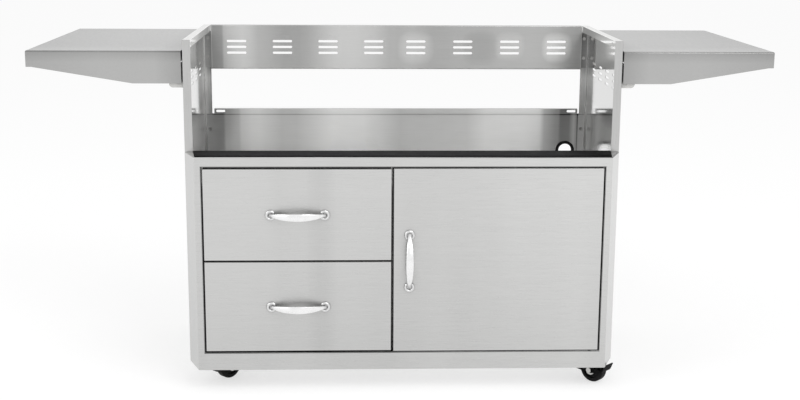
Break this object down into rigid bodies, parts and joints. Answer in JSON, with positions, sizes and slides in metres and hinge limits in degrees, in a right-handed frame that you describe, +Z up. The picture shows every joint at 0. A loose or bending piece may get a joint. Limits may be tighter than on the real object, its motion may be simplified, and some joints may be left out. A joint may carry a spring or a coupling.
{
  "type": "grill cart with storage",
  "caption": "Rolling stainless cabinet with an open bay for a built-in grill head, two drawers, a storage door, fold-down side shelves and swivel casters.",
  "frame": {"origin": "on the floor, under the centre of the bounding box", "axes": "+X to the right as seen from the front, +Y from the front to the back, +Z up; the front with the handles faces -Y"},
  "size_m": [1.752, 0.731, 0.832],
  "materials": {
    "stainless_sheet": "brushed stainless sheet, grain along each panel's length",
    "stainless_fronts": "brushed stainless fronts, fine grain from side to side",
    "heat_strip": "black heat-resistant strip, matt",
    "grommet_rubber": "black rubber, matt",
    "inner_sheet": "plain mill-finish sheet",
    "polished_handle": "polished cast stainless",
    "zinc_hardware": "zinc-plated steel",
    "nylon_bush": "nylon",
    "catch_plastic": "black moulded catch body",
    "caster_steel": "bright zinc-plated pressed steel",
    "caster_rubber": "black solid rubber with a grey bloom on the tread",
    "caster_lever": "black coated steel"
  },
  "bodies": {
    "cabinet": {"face_frame": "stainless_sheet", "right_side_panel": "stainless_sheet", "left_side_panel": "stainless_sheet", "heat_strip": "heat_strip", "upper_back_band": "stainless_sheet", "lower_back_panel": "stainless_sheet", "hose_grommet": "grommet_rubber", "floor_pan": "inner_sheet", "centre_divider": "inner_sheet", "drawer_liner": "inner_sheet", "tank_ring": "inner_sheet", "upper_drawer_outer_rails": "zinc_hardware", "lower_drawer_outer_rails": "zinc_hardware", "door_pivot_pins": "zinc_hardware", "door_catch": "catch_plastic", "right_shelf_brackets": "zinc_hardware", "left_shelf_brackets": "zinc_hardware", "right_shelf_pivot_bolts": "zinc_hardware", "left_shelf_pivot_bolts": "zinc_hardware", "caster_bolts": "zinc_hardware", "panel_screws": "zinc_hardware", "front_left_caster_plate": "caster_steel", "front_right_caster_plate": "caster_steel", "rear_left_caster_plate": "caster_steel", "rear_right_caster_plate": "caster_steel"},
    "door": {"door_front": "stainless_fronts", "door_liner": "inner_sheet", "door_handle": "polished_handle", "door_bushes": "nylon_bush", "door_strike": "zinc_hardware"},
    "right_shelf": {"right_shelf": "stainless_sheet", "right_shelf_arms": "zinc_hardware"},
    "left_shelf": {"left_shelf": "stainless_sheet", "left_shelf_arms": "zinc_hardware"},
    "upper_drawer": {"upper_drawer_front": "stainless_fronts", "upper_drawer_tub": "inner_sheet", "upper_drawer_handle": "polished_handle", "upper_drawer_inner_rails": "zinc_hardware"},
    "upper_drawer_slides": {"upper_drawer_middle_rails": "zinc_hardware"},
    "lower_drawer": {"lower_drawer_front": "stainless_fronts", "lower_drawer_tub": "inner_sheet", "lower_drawer_handle": "polished_handle", "lower_drawer_inner_rails": "zinc_hardware"},
    "lower_drawer_slides": {"lower_drawer_middle_rails": "zinc_hardware"},
    "front_left_fork": {"front_left_caster_fork": "caster_steel", "front_left_caster_axle": "caster_steel"},
    "front_left_wheel": {"front_left_caster_wheel": "caster_rubber"},
    "front_left_brake": {"front_left_brake_lever": "caster_lever"},
    "front_right_fork": {"front_right_caster_fork": "caster_steel", "front_right_caster_axle": "caster_steel"},
    "front_right_wheel": {"front_right_caster_wheel": "caster_rubber"},
    "front_right_brake": {"front_right_brake_lever": "caster_lever"},
    "rear_left_fork": {"rear_left_caster_fork": "caster_steel", "rear_left_caster_axle": "caster_steel"},
    "rear_left_wheel": {"rear_left_caster_wheel": "caster_rubber"},
    "rear_right_fork": {"rear_right_caster_fork": "caster_steel", "rear_right_caster_axle": "caster_steel"},
    "rear_right_wheel": {"rear_right_caster_wheel": "caster_rubber"}
  },
  "joints": [
    {"name": "upper_drawer_slide", "type": "slide", "parent": "cabinet", "child": "upper_drawer", "axis": [0, -1, 0], "range_m": [0, 0.4]},
    {"name": "upper_middle_slide", "type": "slide", "parent": "cabinet", "child": "upper_drawer_slides", "axis": [0, -1, 0], "range_m": [0, 0.2]},
    {"name": "lower_drawer_slide", "type": "slide", "parent": "cabinet", "child": "lower_drawer", "axis": [0, -1, 0], "range_m": [0, 0.4]},
    {"name": "lower_middle_slide", "type": "slide", "parent": "cabinet", "child": "lower_drawer_slides", "axis": [0, -1, 0], "range_m": [0, 0.2]},
    {"name": "door_hinge", "type": "hinge", "parent": "cabinet", "child": "door", "pos_m": [0.4475, -0.324, 0.321], "axis": [0, 0, 1], "range_deg": [0, 105]},
    {"name": "right_shelf_fold", "type": "hinge", "parent": "cabinet", "child": "right_shelf", "pos_m": [0.535, -0.0325, 0.7395], "axis": [0, 1, 0], "range_deg": [0, 90]},
    {"name": "left_shelf_fold", "type": "hinge", "parent": "cabinet", "child": "left_shelf", "pos_m": [-0.535, -0.0325, 0.7395], "axis": [0, -1, 0], "range_deg": [0, 90]},
    {"name": "front_left_swivel", "type": "hinge", "parent": "cabinet", "child": "front_left_fork", "pos_m": [-0.448, -0.2505, 0.0808], "axis": [0, 0, 1], "continuous": true},
    {"name": "front_left_wheel_spin", "type": "hinge", "parent": "front_left_fork", "child": "front_left_wheel", "pos_m": [-0.42577, -0.22748, 0.032], "axis": [-0.7193, 0.6947, 0], "continuous": true},
    {"name": "front_left_brake_press", "type": "hinge", "parent": "front_left_fork", "child": "front_left_brake", "pos_m": [-0.42577, -0.22748, 0.032], "axis": [-0.7193, 0.6947, 0], "range_deg": [0, 12]},
    {"name": "front_right_swivel", "type": "hinge", "parent": "cabinet", "child": "front_right_fork", "pos_m": [0.448, -0.2505, 0.0808], "axis": [0, 0, 1], "continuous": true},
    {"name": "front_right_wheel_spin", "type": "hinge", "parent": "front_right_fork", "child": "front_right_wheel", "pos_m": [0.47102, -0.27273, 0.032], "axis": [0.6947, 0.7193, 0], "continuous": true},
    {"name": "front_right_brake_press", "type": "hinge", "parent": "front_right_fork", "child": "front_right_brake", "pos_m": [0.47102, -0.27273, 0.032], "axis": [0.6947, 0.7193, 0], "range_deg": [0, 12]},
    {"name": "rear_left_swivel", "type": "hinge", "parent": "cabinet", "child": "rear_left_fork", "pos_m": [-0.448, 0.1155, 0.0808], "axis": [0, 0, 1], "continuous": true},
    {"name": "rear_left_wheel_spin", "type": "hinge", "parent": "rear_left_fork", "child": "rear_left_wheel", "pos_m": [-0.46302, 0.14375, 0.032], "axis": [-0.8829, -0.4695, 0], "continuous": true},
    {"name": "rear_right_swivel", "type": "hinge", "parent": "cabinet", "child": "rear_right_fork", "pos_m": [0.448, 0.1155, 0.0808], "axis": [0, 0, 1], "continuous": true},
    {"name": "rear_right_wheel_spin", "type": "hinge", "parent": "rear_right_fork", "child": "rear_right_wheel", "pos_m": [0.46203, 0.14426, 0.032], "axis": [-0.8988, 0.4384, 0], "continuous": true}
  ],
  "couplings": [
    {"joint": "upper_middle_slide", "follows": "upper_drawer_slide", "ratio": 0.5},
    {"joint": "lower_middle_slide", "follows": "lower_drawer_slide", "ratio": 0.5}
  ]
}
